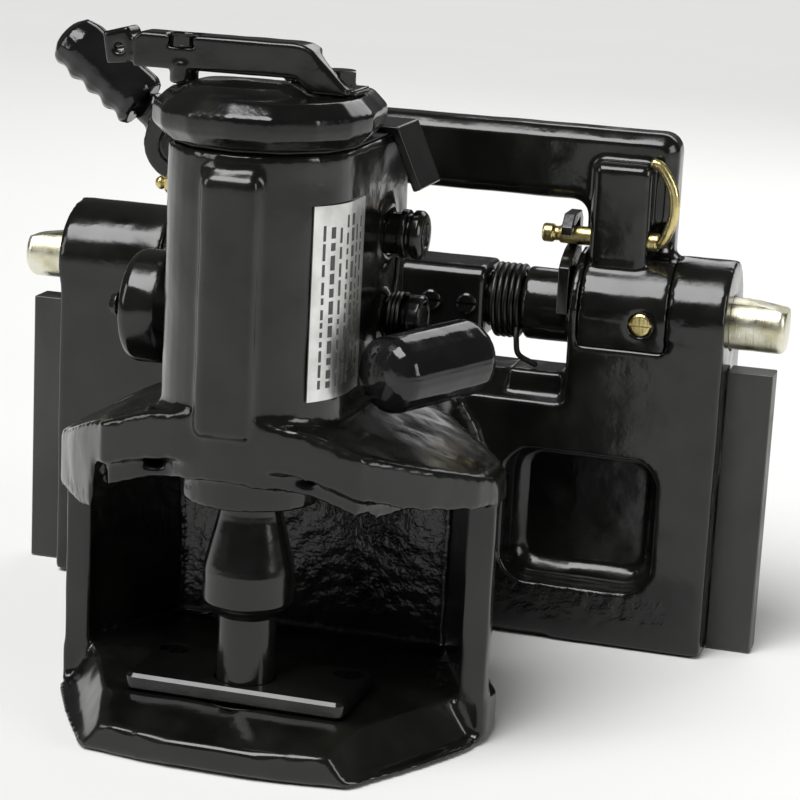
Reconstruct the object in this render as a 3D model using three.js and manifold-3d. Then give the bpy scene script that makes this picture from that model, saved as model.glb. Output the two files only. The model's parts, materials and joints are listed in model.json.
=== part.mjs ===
// Height-adjustable automatic trailer coupling for a tractor's ladder frame.
// Millimetres, +Z up, +X to the right as seen from the mouth, mouth towards -Y.
// The design frame has its origin at the foot of the guide plates, on their front face.
import * as THREE from 'three';
import { mergeVertices } from 'three/addons/utils/BufferGeometryUtils.js';
import Module from 'manifold-3d';

const wasm = await Module();
wasm.setup();

// ---- driving dimensions -------------------------------------------------------------
const GAP = 0.35;                 // gap between touching pieces
const RUN = 0.4;                  // radial running clearance of shafts
const FRAME_W = 380;              // width over the guide plates
const BODY_W = 336;               // width of the bracket body
const PLATE_T = 15.5;             // guide plate thickness
const PLATE_H = 139;              // guide plate height
const BODY_FRONT = -20;
const BODY_BACK = 38;
const BODY_TOP = 118;             // top of the body between the side blocks, at its front
const BLOCK_IN = 93;              // inner face of a side block
const LOCK_Y = 8;                 // axis of the locking pins and the lock handle
const LOCK_Z = 161;
const BOSS_R = 30;
const LOCK_PIN_R = 12.5;
const LOCK_PIN_END = 194;
const RING_IN = 98;               // handle hub rings sit in slots of the side blocks
const RING_OUT = { 1: 140, [-1]: 114 };
const COLLAR_R = 17.75;
const COLLAR_IN = 67;
const HANDLE_TOP = 249;
const HANDLE_BAR = 35;            // height of the handle's top bar
const SAFETY_Y = -3;
const SAFETY_Z = 198;
const SAFETY_R = 4.5;
const CAM_SCREW_X = 128;
const CAM_SCREW_HEAD_R = 5.5;
const CAM_SCREW_SEAT = -17.7;     // seat of the cam screw's head, sunk in the handle's hub
const EAR_IN = 86;
const EAR_OUT = 91.5;

const PIN_Y = -201;               // coupling pin and tower axis
const TOWER_R = 39;
const TOWER_BACK = -118;
const TOWER_TOP = 258.5;
const CAP_TOP = 279;
const JAW_HALF = 98;
const JAW_WALL = 12;
const JAW_BACK = -98;
const WALL_FRONT = -169;
const FLOOR_T = 20;
const LIP_TURN = 63.4 * (Math.PI / 180);
const NECK_Z = 78;
const NECK_R = 30;
const HUB_FRONT = -62;
const HUB_R = 56;
const CROWN_R = 19.5;
const SHANK_R = 12.5;
const BUSH_BOSS_R = 30;
const CROWN_Z = 62;               // foot of the pin's thick part
const PISTON_TOP = 160;
const PIN_TIP = 6;
const LEVER_X = -57;              // hand lever shaft, parallel to Y
const LEVER_Z = 246;
const RELEASE_Y = -150;           // release lever shaft, parallel to X
const RELEASE_Z = 180.5;
const NIPPLE_Y = -191;
const NIPPLE_Z = 236;
const DISC_Z = 174;               // left spring housing, axis parallel to X

// ---- materials ----------------------------------------------------------------------
const FINISH = {
  paint: [0x0d0d0e, 0.25, 0.0],
  zinc: [0xcfc9a4, 0.35, 1.0],
  brass: [0xc2a24c, 0.3, 1.0],
  plate: [0xc9c9c4, 0.35, 1.0],
  plastic: [0x101011, 0.3, 0.0],
  steel: [0x3a3a38, 0.4, 1.0],
};

const coupler = new THREE.Group();
const design = new THREE.Group();
coupler.add(design);

function addPart(name, geometry, finish, parent = design) {
  const [color, roughness, metalness] = FINISH[finish];
  const mesh = new THREE.Mesh(geometry, new THREE.MeshStandardMaterial({ color, roughness, metalness }));
  mesh.name = name;
  parent.add(mesh);
  return mesh;
}

// Identical pieces as name_1, name_2 and so on.
function addNumbered(name, geometries, finish, parent = design) {
  geometries.forEach((geometry, i) => addPart(`${name}_${i + 1}`, geometry, finish, parent));
}

// ---- solids -------------------------------------------------------------------------
function toSolid(geometry) {
  const bare = geometry.clone();
  bare.deleteAttribute('normal');
  bare.deleteAttribute('uv');
  const merged = mergeVertices(bare, 1e-4);
  const mesh = new wasm.Mesh({
    numProp: 3,
    vertProperties: new Float32Array(merged.attributes.position.array),
    triVerts: new Uint32Array(merged.index.array),
  });
  return new wasm.Manifold(mesh);
}

function toGeometry(solid) {
  const mesh = solid.getMesh();
  const geometry = new THREE.BufferGeometry();
  geometry.setAttribute('position', new THREE.BufferAttribute(mesh.vertProperties, 3));
  geometry.setIndex(new THREE.BufferAttribute(mesh.triVerts, 1));
  geometry.computeVertexNormals();
  return geometry;
}

// Joins the added geometries, then cuts the removed ones out.
function carve(added, removed = []) {
  let solid = toSolid(added[0]);
  for (const piece of added.slice(1)) solid = solid.add(toSolid(piece));
  for (const piece of removed) solid = solid.subtract(toSolid(piece));
  return toGeometry(solid);
}

function box(x0, x1, y0, y1, z0, z1) {
  const geometry = new THREE.BoxGeometry(x1 - x0, y1 - y0, z1 - z0);
  return geometry.translate((x0 + x1) / 2, (y0 + y1) / 2, (z0 + z1) / 2);
}

// A turned piece: profile points are [radius, height] and close on the axis or on themselves.
function turned(profile, segments = 20) {
  const points = profile.map(([r, h]) => new THREE.Vector2(r, h));
  return new THREE.LatheGeometry(points, segments).rotateX(Math.PI / 2);
}

function turnedX(profile, y, z, segments = 20) {
  return turned(profile, segments).rotateY(Math.PI / 2).translate(0, y, z);
}

function turnedY(profile, x, z, segments = 20) {
  return turned(profile, segments).rotateX(-Math.PI / 2).translate(x, 0, z);
}

function discProfile(r, h0, h1) {
  return [[0, h0], [r, h0], [r, h1], [0, h1]];
}

function ringProfile(inner, outer, h0, h1) {
  return [[inner, h0], [outer, h0], [outer, h1], [inner, h1], [inner, h0]];
}

function rodX(r, x0, x1, y, z, segments = 20) {
  return turnedX(discProfile(r, x0, x1), y, z, segments);
}

function rodY(r, y0, y1, x, z, segments = 20) {
  return turnedY(discProfile(r, y0, y1), x, z, segments);
}

function rodZ(r, z0, z1, x, y, segments = 20) {
  return turned(discProfile(r, z0, z1), segments).translate(x, y, 0);
}

// The shape as straight steps, with points closer than a hundredth of a millimetre joined.
function cleaned(shape, curveSegments) {
  const kept = [];
  for (const point of shape.getPoints(curveSegments)) {
    if (kept.every((other) => other.distanceTo(point) > 0.01)) kept.push(point);
  }
  return new THREE.Shape(kept);
}

function extrude(shape, length, bevel, curveSegments = 3) {
  const geometry = new THREE.ExtrudeGeometry(cleaned(shape, curveSegments), {
    depth: length - 2 * bevel,
    bevelEnabled: bevel > 0,
    bevelSize: bevel,
    bevelThickness: bevel,
    bevelOffset: -bevel,
    bevelSegments: 1,
    curveSegments,
    steps: 1,
  });
  return geometry.translate(0, 0, bevel);
}

// An outline in (x, y) raised from z0 to z1.
function raised(shape, z0, z1, bevel = 0, curveSegments = 3) {
  return extrude(shape, z1 - z0, bevel, curveSegments).translate(0, 0, z0);
}

// An outline in (x, z) running from y0 to y1.
function alongY(shape, y0, y1, bevel = 0) {
  return extrude(shape, y1 - y0, bevel).rotateX(Math.PI / 2).translate(0, y1, 0);
}

// An outline in (y, z) running from x0 to x1.
function alongX(shape, x0, x1, bevel = 0) {
  const turn = new THREE.Matrix4().makeBasis(
    new THREE.Vector3(0, 1, 0), new THREE.Vector3(0, 0, 1), new THREE.Vector3(1, 0, 0));
  return extrude(shape, x1 - x0, bevel).applyMatrix4(turn).translate(x0, 0, 0);
}

function outline(points) {
  return new THREE.Shape(points.map(([a, b]) => new THREE.Vector2(a, b)));
}

function roundedRect(x0, x1, y0, y1, r) {
  const shape = new THREE.Shape();
  shape.moveTo(x0 + r, y0);
  shape.lineTo(x1 - r, y0);
  shape.absarc(x1 - r, y0 + r, r, -Math.PI / 2, 0);
  shape.lineTo(x1, y1 - r);
  shape.absarc(x1 - r, y1 - r, r, 0, Math.PI / 2);
  shape.lineTo(x0 + r, y1);
  shape.absarc(x0 + r, y1 - r, r, Math.PI / 2, Math.PI);
  shape.lineTo(x0, y0 + r);
  shape.absarc(x0 + r, y0 + r, r, Math.PI, 1.5 * Math.PI);
  return shape;
}

// A round wire along a smooth curve through the points.
function wire(points, r, steps, sides = 6) {
  const curve = new THREE.CatmullRomCurve3(points.map((p) => new THREE.Vector3(...p)));
  const corners = [];
  for (let i = 0; i < sides; i += 1) {
    const angle = (2 * Math.PI * i) / sides;
    corners.push([r * Math.cos(angle), r * Math.sin(angle)]);
  }
  return new THREE.ExtrudeGeometry(outline(corners), { steps, bevelEnabled: false, extrudePath: curve });
}

// Points of a helix about a line parallel to X through (y, z).
function helixX(x0, x1, r, turns, y, z, perTurn = 12, start = 0) {
  const points = [];
  const count = Math.round(turns * perTurn);
  for (let i = 0; i <= count; i += 1) {
    const angle = start + (2 * Math.PI * i) / perTurn;
    points.push([x0 + ((x1 - x0) * i) / count, y + r * Math.cos(angle), z + r * Math.sin(angle)]);
  }
  return points;
}

function hexHead(r, h0, h1) {
  return turned(discProfile(r, h0, h1), 6);
}

// ---- bracket ------------------------------------------------------------------------
// Curve of the handle's safety pin about the lock axis, used for the ear's slot.
const SAFETY_RADIUS = Math.hypot(SAFETY_Y - LOCK_Y, SAFETY_Z - LOCK_Z);
const SAFETY_ANGLE = Math.atan2(SAFETY_Z - LOCK_Z, SAFETY_Y - LOCK_Y);

// Plate on the collar that the safety pin passes through; its slot is open towards the front.
function lockEar() {
  const ear = outline([
    [-15, LOCK_Z], [-15, 203], [-9, 209], [6, 209], [10, 205], [12, 184], [22, LOCK_Z],
  ]);
  const plate = alongX(ear, EAR_IN, EAR_OUT);
  const slot = new THREE.Shape();
  const half = SAFETY_R + 1.8;
  const from = SAFETY_ANGLE - half / SAFETY_RADIUS;
  const to = SAFETY_ANGLE + 1.3;
  slot.absarc(LOCK_Y, LOCK_Z, SAFETY_RADIUS + half, from, to, false);
  slot.absarc(LOCK_Y, LOCK_Z, SAFETY_RADIUS - half, to, from, true);
  return carve([plate], [
    alongX(slot, EAR_IN - 1, EAR_OUT + 1),
    rodX(COLLAR_R + GAP, EAR_IN - 1, EAR_OUT + 1, LOCK_Y, LOCK_Z, 28),
  ]);
}

function sideBlock(side) {
  const x0 = side > 0 ? BLOCK_IN : -BODY_W / 2;
  const x1 = side > 0 ? BODY_W / 2 : -BLOCK_IN;
  return carve([
    alongX(roundedRect(BODY_FRONT, BODY_BACK, 0, LOCK_Z + 10, 3), x0, x1, 1.5),
    rodX(BOSS_R, x0, x1, LOCK_Y, LOCK_Z, 28),
  ]);
}

function ringSlot(side) {
  const inner = RING_IN - GAP;
  const outer = RING_OUT[side] + GAP;
  const x0 = side > 0 ? inner : -outer;
  const x1 = side > 0 ? outer : -inner;
  const clear = BOSS_R + RUN;
  return carve([
    rodX(clear, x0, x1, LOCK_Y, LOCK_Z, 28),
    box(x0, x1, BODY_FRONT - 5, BODY_BACK + 5, LOCK_Z, LOCK_Z + 40),
  ]);
}

function bodyBetween() {
  const section = outline([
    [BODY_FRONT, 4], [BODY_FRONT + 4, 0], [BODY_BACK, 0], [BODY_BACK, 126], [4, 128], [BODY_FRONT, BODY_TOP],
  ]);
  return alongX(section, -BODY_W / 2 + 20, BODY_W / 2 - 20);
}

// Recess in the body's front beside the hub, with sloping side walls.
function frontPocket(side) {
  const depth = 24;
  const opening = side > 0 ? roundedRect(67, 141, 28, 95, 14) : roundedRect(-141, -67, 28, 95, 14);
  return alongY(opening, BODY_FRONT - 6, BODY_FRONT + depth, 6);
}

function bracketCasting() {
  const hub = turnedY([[0, HUB_FRONT], [53, HUB_FRONT], [HUB_R, HUB_FRONT + 3], [HUB_R, 10], [0, 10]],
    0, NECK_Z, 28);
  const bores = rodX(LOCK_PIN_R + RUN, -BODY_W, BODY_W, LOCK_Y, LOCK_Z);
  const collar = rodX(COLLAR_R, COLLAR_IN, BLOCK_IN + 1, LOCK_Y, LOCK_Z, 28);
  const springPad = box(64, 92, -14, 12, BODY_TOP, 132);
  return carve(
    [bodyBetween(), sideBlock(1), sideBlock(-1), hub, collar, springPad],
    [
      ringSlot(1), ringSlot(-1), bores, frontPocket(1), frontPocket(-1),
      rodY(38 + GAP, HUB_FRONT - 5, BODY_BACK + 5, 0, NECK_Z, 28),
      box(-110, 110, -120, 60, -40, 0),
    ],
  );
}

function guidePlate(side) {
  const inner = BODY_W / 2 + GAP;
  const outer = FRAME_W / 2;
  const x0 = side > 0 ? inner : -outer;
  const x1 = side > 0 ? outer : -inner;
  return box(x0, x1, 0, PLATE_T, 0, PLATE_H);
}

function buildBracket() {
  addPart('bracket_casting', bracketCasting(), 'paint');
  for (const [side, label] of [[1, 'right'], [-1, 'left']]) {
    addPart(`guide_plate_${label}`, guidePlate(side), 'paint');
  }
  addPart('lock_ear', lockEar(), 'paint');
  addPart('neck_bush', turnedY(ringProfile(NECK_R + RUN, 38, HUB_FRONT + 2, BODY_BACK - 2), 0, NECK_Z, 28), 'brass');
}

// ---- lock handle and locking pins ---------------------------------------------------
const SHAFT_END = RING_IN + 2;
const SLEEVE_X = [6, 49];
const SLEEVE_SCREWS = [23, 41];
const SPRING_X = [51.5, 65.5];

function handleRing(side) {
  const x0 = side > 0 ? RING_IN : -RING_OUT[side];
  const x1 = side > 0 ? RING_OUT[side] : -RING_IN;
  return rodX(BOSS_R, x0, x1, LOCK_Y, LOCK_Z, 28);
}

function handleFrame() {
  const right = RING_OUT[1] - 3;
  const left = -RING_OUT[-1];
  const barBottom = HANDLE_TOP - HANDLE_BAR;
  const frame = new THREE.Shape();
  frame.moveTo(right, LOCK_Z + 20);
  frame.lineTo(right, HANDLE_TOP - 9);
  frame.absarc(right - 9, HANDLE_TOP - 9, 9, 0, Math.PI / 2);
  frame.lineTo(left + 9, HANDLE_TOP);
  frame.absarc(left + 9, HANDLE_TOP - 9, 9, Math.PI / 2, Math.PI);
  frame.lineTo(left, LOCK_Z + 20);
  frame.lineTo(-RING_IN, LOCK_Z + 20);
  frame.lineTo(-RING_IN, LOCK_Z + 31);
  frame.lineTo(-RING_IN + 4, LOCK_Z + 34);
  frame.lineTo(-RING_IN + 4, barBottom - 10);
  frame.absarc(-RING_IN + 14, barBottom - 10, 10, Math.PI, Math.PI / 2, true);
  frame.lineTo(87, barBottom);
  frame.absarc(87, barBottom - 8, 8, Math.PI / 2, 0, true);
  frame.lineTo(95, LOCK_Z + 32);
  frame.lineTo(RING_IN, LOCK_Z + 30);
  frame.lineTo(RING_IN, LOCK_Z + 20);
  return alongY(frame, -2, 22, 5);
}

function lockHandle() {
  const rib = alongY(roundedRect(RING_IN + GAP, 127, LOCK_Z + 24, HANDLE_TOP - 14, 4), -12, 4, 3);
  return carve(
    [handleFrame(), rib, handleRing(1), handleRing(-1)],
    [
      rodX(LOCK_PIN_R + RUN, -BODY_W, BODY_W, LOCK_Y, LOCK_Z),
      rodX(SAFETY_R + 0.6, 90, 150, SAFETY_Y, SAFETY_Z, 20),
      rodX(9, 127, 160, SAFETY_Y, SAFETY_Z, 20),
      rodY(4.6, BODY_FRONT - 12, LOCK_Y, CAM_SCREW_X, LOCK_Z, 16),
      rodY(CAM_SCREW_HEAD_R + GAP, BODY_FRONT - 12, CAM_SCREW_SEAT, CAM_SCREW_X, LOCK_Z, 16),
    ],
  );
}

function crossShaft() {
  const profile = [
    [0, -SHAFT_END], [LOCK_PIN_R, -SHAFT_END], [LOCK_PIN_R, SHAFT_END], [0, SHAFT_END],
  ];
  return turnedX(profile, LOCK_Y, LOCK_Z, 28);
}

function shaftSleeve() {
  const body = alongX(roundedRect(LOCK_Y - 18, LOCK_Y + 18, LOCK_Z - 18, LOCK_Z + 18, 7), ...SLEEVE_X, 1.5);
  const holes = SLEEVE_SCREWS.map((x) => rodY(3.4, LOCK_Y - 20, LOCK_Y, x, LOCK_Z, 14));
  return carve([body], [rodX(LOCK_PIN_R + GAP, 0, 60, LOCK_Y, LOCK_Z, 28), ...holes]);
}

function screwY(r, headR, x, z, faceY, length, headH) {
  const profile = [
    [0, faceY - headH], [headR - 1, faceY - headH], [headR, faceY - headH + 1], [headR, faceY - GAP],
    [r, faceY - GAP], [r, faceY + length], [0, faceY + length],
  ];
  return turnedY(profile, x, z, 14);
}

function torsionSpring() {
  const r = 17;
  const turns = 4.75;
  const lastAngle = 215 * (Math.PI / 180);
  const coil = helixX(...SPRING_X, r, turns, LOCK_Y, LOCK_Z, 12, lastAngle - turns * 2 * Math.PI);
  const tail = [[66.2, -8.5, 145], [68, -9, 138], [76, -8, 133.9]];
  return wire([...coil, ...tail], 1.45, 72, 4);
}

function lockingPin(side) {
  const profile = [[0, 126], [LOCK_PIN_R - 1, 126], [LOCK_PIN_R, 127], [LOCK_PIN_R, LOCK_PIN_END - 2],
    [LOCK_PIN_R - 2, LOCK_PIN_END], [0, LOCK_PIN_END]];
  const rod = turnedX(profile, LOCK_Y, LOCK_Z, 28);
  const wedge = outline([[176, LOCK_Z + 12], [LOCK_PIN_END + 3, LOCK_Z + 8], [LOCK_PIN_END + 3, LOCK_Z + 20],
    [176, LOCK_Z + 20]]);
  const pin = carve([rod], [alongY(wedge, -20, 28)]);
  return side > 0 ? pin : pin.rotateZ(Math.PI).translate(0, 2 * LOCK_Y, 0);
}

function safetyPin() {
  const end = 131;
  const rod = turnedX([
    [0, 75], [SAFETY_R - 0.6, 75], [SAFETY_R, 76], [SAFETY_R, 80], [SAFETY_R - 1, 81], [SAFETY_R - 1, 83],
    [SAFETY_R, 84], [SAFETY_R, end], [0, end],
  ], SAFETY_Y, SAFETY_Z, 16);
  const bow = wire([
    [end - 2, SAFETY_Y, SAFETY_Z - 1], [134, SAFETY_Y - 4, SAFETY_Z + 2], [138, SAFETY_Y - 5, SAFETY_Z + 14],
    [137, SAFETY_Y - 5, SAFETY_Z + 26], [131, SAFETY_Y - 5, SAFETY_Z + 36], [127.5, SAFETY_Y - 5, SAFETY_Z + 38],
  ], 2.6, 12, 6);
  return carve([rod, bow]);
}

function buildLock() {
  addPart('lock_handle', lockHandle(), 'paint');
  addPart('cross_shaft', crossShaft(), 'paint');
  addPart('shaft_sleeve', shaftSleeve(), 'paint');
  addNumbered('sleeve_screw', SLEEVE_SCREWS.map((x) => screwY(2.9, 5.2, x, LOCK_Z, LOCK_Y - 18, 5, 2.5)), 'paint');
  addPart('cam_screw', screwY(4, CAM_SCREW_HEAD_R, CAM_SCREW_X, LOCK_Z, CAM_SCREW_SEAT, 10, 3.5), 'brass');
  addPart('torsion_spring', torsionSpring(), 'steel');
  addPart('locking_pin_right', lockingPin(1), 'zinc');
  addPart('locking_pin_left', lockingPin(-1), 'zinc');
  addPart('safety_pin', safetyPin(), 'brass');
}

// ---- head casting -------------------------------------------------------------------
function towerOutline(r, back) {
  const shape = new THREE.Shape();
  shape.moveTo(r, back);
  shape.lineTo(-r, back);
  shape.absarc(0, PIN_Y, r, Math.PI, 2 * Math.PI, false);
  shape.lineTo(r, back);
  return shape;
}

// The mouth's arched roof band, seen from the front.
function browArch() {
  const side = JAW_HALF + 1;
  const shape = new THREE.Shape();
  shape.moveTo(-side, 97);
  shape.lineTo(-side, 114);
  shape.quadraticCurveTo(-side, 121, -side + 9, 124);
  shape.bezierCurveTo(-60, 141, -40, 152.5, 0, 152.5);
  shape.bezierCurveTo(40, 151, 60, 136, side - 10, 126);
  shape.quadraticCurveTo(side, 123, side, 115);
  shape.lineTo(side, 108);
  shape.lineTo(side - 12, 111);
  shape.quadraticCurveTo(78, 112, 70, 115);
  shape.bezierCurveTo(54, 121, 35, 132, 0, 132);
  shape.bezierCurveTo(-25, 131, -45, 127, -62, 121);
  shape.lineTo(-64, 101);
  shape.lineTo(-72, 98);
  return shape;
}

// A plan outline of the mouth: bowed front, corners at cornerX, full width at sideY, narrower back.
function mouthPlan({ front, bow, cornerX, sideY, backY, backHalf }) {
  const side = JAW_HALF + 1;
  const shape = new THREE.Shape();
  shape.moveTo(backHalf, backY);
  shape.lineTo(-backHalf, backY);
  shape.lineTo(-side, sideY + 18);
  shape.lineTo(-side, sideY);
  shape.quadraticCurveTo(-side, sideY - 16, -cornerX, front);
  shape.quadraticCurveTo(0, front - 2 * bow, cornerX, front);
  shape.quadraticCurveTo(side, sideY - 16, side, sideY);
  shape.lineTo(side, sideY + 18);
  return shape;
}

function meet(a, b) {
  return toGeometry(toSolid(a).intersect(toSolid(b)));
}

function jawBrow() {
  const plan = mouthPlan({ front: -232, bow: 7, cornerX: 56, sideY: -170, backY: -128, backHalf: 66 });
  return meet(alongY(browArch(), -260, JAW_BACK), raised(plan, 80, 160));
}

// Roof plate from the brow back to the rear wall.
function jawRoof() {
  const plan = outline([[-52, JAW_BACK], [-62, -140], [-80, -165], [-54, -229], [54, -229], [80, -165], [62, -140],
    [52, JAW_BACK]]);
  return raised(plan, 109, 124);
}

// Hollow under the mouth's arch, round the boss that holds the upper bush.
function jawVault() {
  const section = outline([[-60, 100], [-58, 112], [-36, 119], [0, 124], [36, 119], [58, 112], [60, 100]]);
  return carve([alongY(section, -262, -168)], [rodZ(BUSH_BOSS_R, 90, 140, 0, PIN_Y, 28)]);
}

function jawFloor() {
  const plan = mouthPlan({ front: -241, bow: 6.1, cornerX: 60, sideY: -166, backY: JAW_BACK, backHalf: 76 });
  const topSlope = outline([[-266, 8], [-266, 30], [-219, 30], [-219, FLOOR_T], [-256, 9.5]]);
  const underSlope = outline([[-266, -2], [-242, -2], [-242, 0], [-256, 4], [-266, 6]]);
  return carve(
    [raised(plan, 0, FLOOR_T, 2)],
    [alongX(topSlope, -120, 120), alongX(underSlope, -120, 120), lipCorner(1), lipCorner(-1)],
  );
}

// Sloping outer face at a front corner of the lip.
function lipCorner(side) {
  const slope = outline([[2, 3], [-30, 3], [-30, 30], [16, 30], [12.5, FLOOR_T + 1]]);
  if (side > 0) return alongX(slope, -75, 32).rotateZ(LIP_TURN).translate(81, -198, 0);
  return alongX(slope, -32, 75).rotateZ(-LIP_TURN).translate(-81, -198, 0);
}

// The side walls and rear wall in one bent plan; they lean in towards the back.
function jawShell() {
  const half = JAW_HALF;
  const backHalf = 76;
  const right = [[half, WALL_FRONT], [half, WALL_FRONT + 8], [backHalf, JAW_BACK]];
  const inner = [[backHalf - JAW_WALL, JAW_BACK - JAW_WALL], [half - JAW_WALL, WALL_FRONT + 10],
    [half - JAW_WALL, WALL_FRONT]];
  const mirrored = (points) => points.map(([x, y]) => [-x, y]).reverse();
  return raised(outline([...right, ...mirrored(right), ...mirrored(inner), ...inner]), 4, 117);
}

function headCasting() {
  const tower = raised(towerOutline(TOWER_R, TOWER_BACK), 109, TOWER_TOP, 0, 10);
  const rib = raised(roundedRect(-12.5, 12.5, PIN_Y - TOWER_R - 4, PIN_Y - 20, 4), 142, TOWER_TOP - 8, 3);
  const neckCone = turnedY([[0, JAW_BACK - 6], [52, JAW_BACK - 6], [50, HUB_FRONT - 14], [44, HUB_FRONT - 5],
    [NECK_R, HUB_FRONT - 5], [NECK_R, BODY_BACK + 6], [24, BODY_BACK + 8], [24, BODY_BACK + 26],
    [0, BODY_BACK + 26]], 0, NECK_Z, 28);
  const leverLug = alongY(roundedRect(LEVER_X - 13, -30, LEVER_Z - 18, LEVER_Z + 12, 6), -133, TOWER_BACK);
  const discSeat = rodX(21, -52, -30, RELEASE_Y, DISC_Z, 28);
  const releaseBoss = rodX(10, 30, 42, RELEASE_Y, RELEASE_Z, 20);
  const stopBoss = rodX(13, 30, 41, RELEASE_Y, 217, 20);
  const leftGusset = alongY(outline([[-36, 122], [-90, 112], [-84, 128], [-66, 138], [-50, 145], [-36, 148]]),
    -158, -140, 3);
  const rightGusset = alongY(outline([[36, 116], [66, 116], [48, 140], [36, 160]]), -158, -140, 3);
  return carve(
    [jawShell(), jawFloor(), jawRoof(), jawBrow(), tower, rib, neckCone, leverLug, discSeat,
      releaseBoss, stopBoss, leftGusset, rightGusset],
    [
      rodZ(24, 98, TOWER_TOP + 5, 0, PIN_Y, 28),
      rodZ(18 + GAP, -5, 40, 0, PIN_Y, 24),
      jawVault(),
      box(-12, 12, PIN_Y, TOWER_BACK + 5, 146, TOWER_TOP + 5),
      rodY(8 + RUN, -140, TOWER_BACK + 10, LEVER_X, LEVER_Z, 20),
      rodX(7 + RUN, 5, 70, RELEASE_Y, RELEASE_Z, 20),
      rodX(9 + GAP, 5, 70, RELEASE_Y, 217, 20),
      rodX(13, -62, -44, RELEASE_Y, DISC_Z, 20),
    ],
  );
}

// ---- pieces on the head -------------------------------------------------------------
// The cap stands out furthest on its left.
function capOutline() {
  const shape = new THREE.Shape();
  const back = COVER_JOINT - 1;
  shape.moveTo(0, back);
  shape.absarc(-27, back - 18, 18, Math.PI / 2, Math.PI, false);
  shape.absarc(0, PIN_Y, 46, Math.PI, 2 * Math.PI, false);
  shape.absarc(26, back - 15, 15, 0, Math.PI / 2, false);
  return shape;
}

const COVER_JOINT = -151;
const CAP_BOLTS = [[28, -191], [-36, -200], [0, -160]];

function capHoles() {
  return CAP_BOLTS.map(([x, y]) => rodZ(3.6, 240, 292, x, y, 12));
}

function towerCap() {
  const plate = raised(capOutline(), TOWER_TOP + 1.2, CAP_TOP, 6, 4);
  const dome = turned([[0, 270], [26, 270], [25, 280.5], [20, 283], [0, 284]], 28).translate(-6, PIN_Y - 12, 0);
  return carve([plate, dome], [rodZ(22, TOWER_TOP, 266, 0, PIN_Y, 24), ...capHoles()]);
}

// Bent sheet that closes the tower's top behind the cap, with a sloping flange on its right.
function rearCover() {
  const z0 = TOWER_TOP + GAP;
  const sheet = outline([[-37, z0], [39.5, z0], [50, 235], [53.5, 236.5], [42, z0 + 3.4], [-37, z0 + 3.4]]);
  return alongY(sheet, COVER_JOINT, TOWER_BACK - 1);
}

function capGasket() {
  const sheet = raised(towerOutline(TOWER_R - 1, COVER_JOINT - 1.5), TOWER_TOP + GAP, TOWER_TOP + 0.95);
  return carve([sheet], [rodZ(25, 250, 270, 0, PIN_Y, 24), box(-12, 12, PIN_Y, -166, 250, 270), ...capHoles()]);
}

// Bent strap on top of the cap that carries the remote cable's eye.
function cableHolder() {
  const seat = CAP_TOP + GAP;
  const side = new THREE.Shape();
  side.moveTo(-57, 285);
  side.lineTo(-57, 297);
  side.lineTo(-54, 299.5);
  side.lineTo(12, 299.5);
  side.quadraticCurveTo(19, 299.5, 23, 294);
  side.lineTo(35, seat + 3);
  side.lineTo(35, seat);
  side.lineTo(19, seat);
  side.lineTo(13, 285);
  const strap = alongY(side, -205, -190, 1);
  const foot = box(18, 38, -202, -182, seat, seat + 3);
  const hook = alongY(outline([[-69, 285], [-71, 298], [-60, 301], [-56, 295], [-56, 288], [-60, 286]]), -204, -191, 1);
  const post = rodZ(6, seat, 288, -36, -200, 14);
  return carve([strap, foot, hook, post], [
    rodY(2.2, -209, -188, -63.5, 292, 12),
    rodZ(3.6, 270, 305, -36, -200, 12),
    rodZ(7.2, 294, 305, -36, -200, 14),
    rodZ(8.2, seat + 3, 300, 28, -191, 14),
    rodZ(3.6, 270, 300, 28, -191, 12),
    box(-58.5, -57, -210, -185, 290, 305),
  ]);
}

function boltZ(x, y, seat, length, headR, headH, shank = 3.2) {
  const head = hexHead(headR, seat + GAP, seat + headH).translate(x, y, 0);
  return carve([head, rodZ(shank, seat - length, seat + 1, x, y, 12)]);
}

function capBolts() {
  return [
    boltZ(28, -191, CAP_TOP + 3.4, 22, 7.4, 6.5),
    boltZ(-36, -200, 294, 33, 6.5, 5),
    boltZ(0, -160, CAP_TOP, 18, 6.5, 5),
  ];
}

function couplingPin() {
  const profile = [
    [0, PIN_TIP], [SHANK_R - 2, PIN_TIP], [SHANK_R, PIN_TIP + 3], [SHANK_R, CROWN_Z - 4], [CROWN_R - 1, CROWN_Z], [CROWN_R, CROWN_Z + 2],
    [CROWN_R, CROWN_Z + 15], [13.5, CROWN_Z + 40], [13.5, 114], [CROWN_R, 119], [CROWN_R, PISTON_TOP - 2], [CROWN_R - 2, PISTON_TOP], [0, PISTON_TOP],
  ];
  return turned(profile, 20).translate(0, PIN_Y, 0);
}

function upperBush() {
  return turned(ringProfile(CROWN_R + RUN, 24 - GAP, 110, 150), 28).translate(0, PIN_Y, 0);
}

function lowerBush() {
  return turned(ringProfile(SHANK_R + RUN, 18, 2, FLOOR_T - 0.5)).translate(0, PIN_Y, 0);
}

const WEAR_SCREWS = [[-40, -180], [40, -180]];
const WEAR_HEAD_R = 6.5;
const WEAR_HEAD_SEAT = 24;

function wearPlate() {
  const plate = raised(roundedRect(-49, 49, -218, -172, 4), FLOOR_T + GAP, FLOOR_T + 8, 1.5);
  return carve([plate], [
    rodZ(SHANK_R + 0.8, 10, 40, 0, PIN_Y),
    ...WEAR_SCREWS.map(([x, y]) => rodZ(4.4, 10, 40, x, y, 14)),
    ...WEAR_SCREWS.map(([x, y]) => rodZ(WEAR_HEAD_R + GAP, WEAR_HEAD_SEAT, 40, x, y, 16)),
  ]);
}

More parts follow.
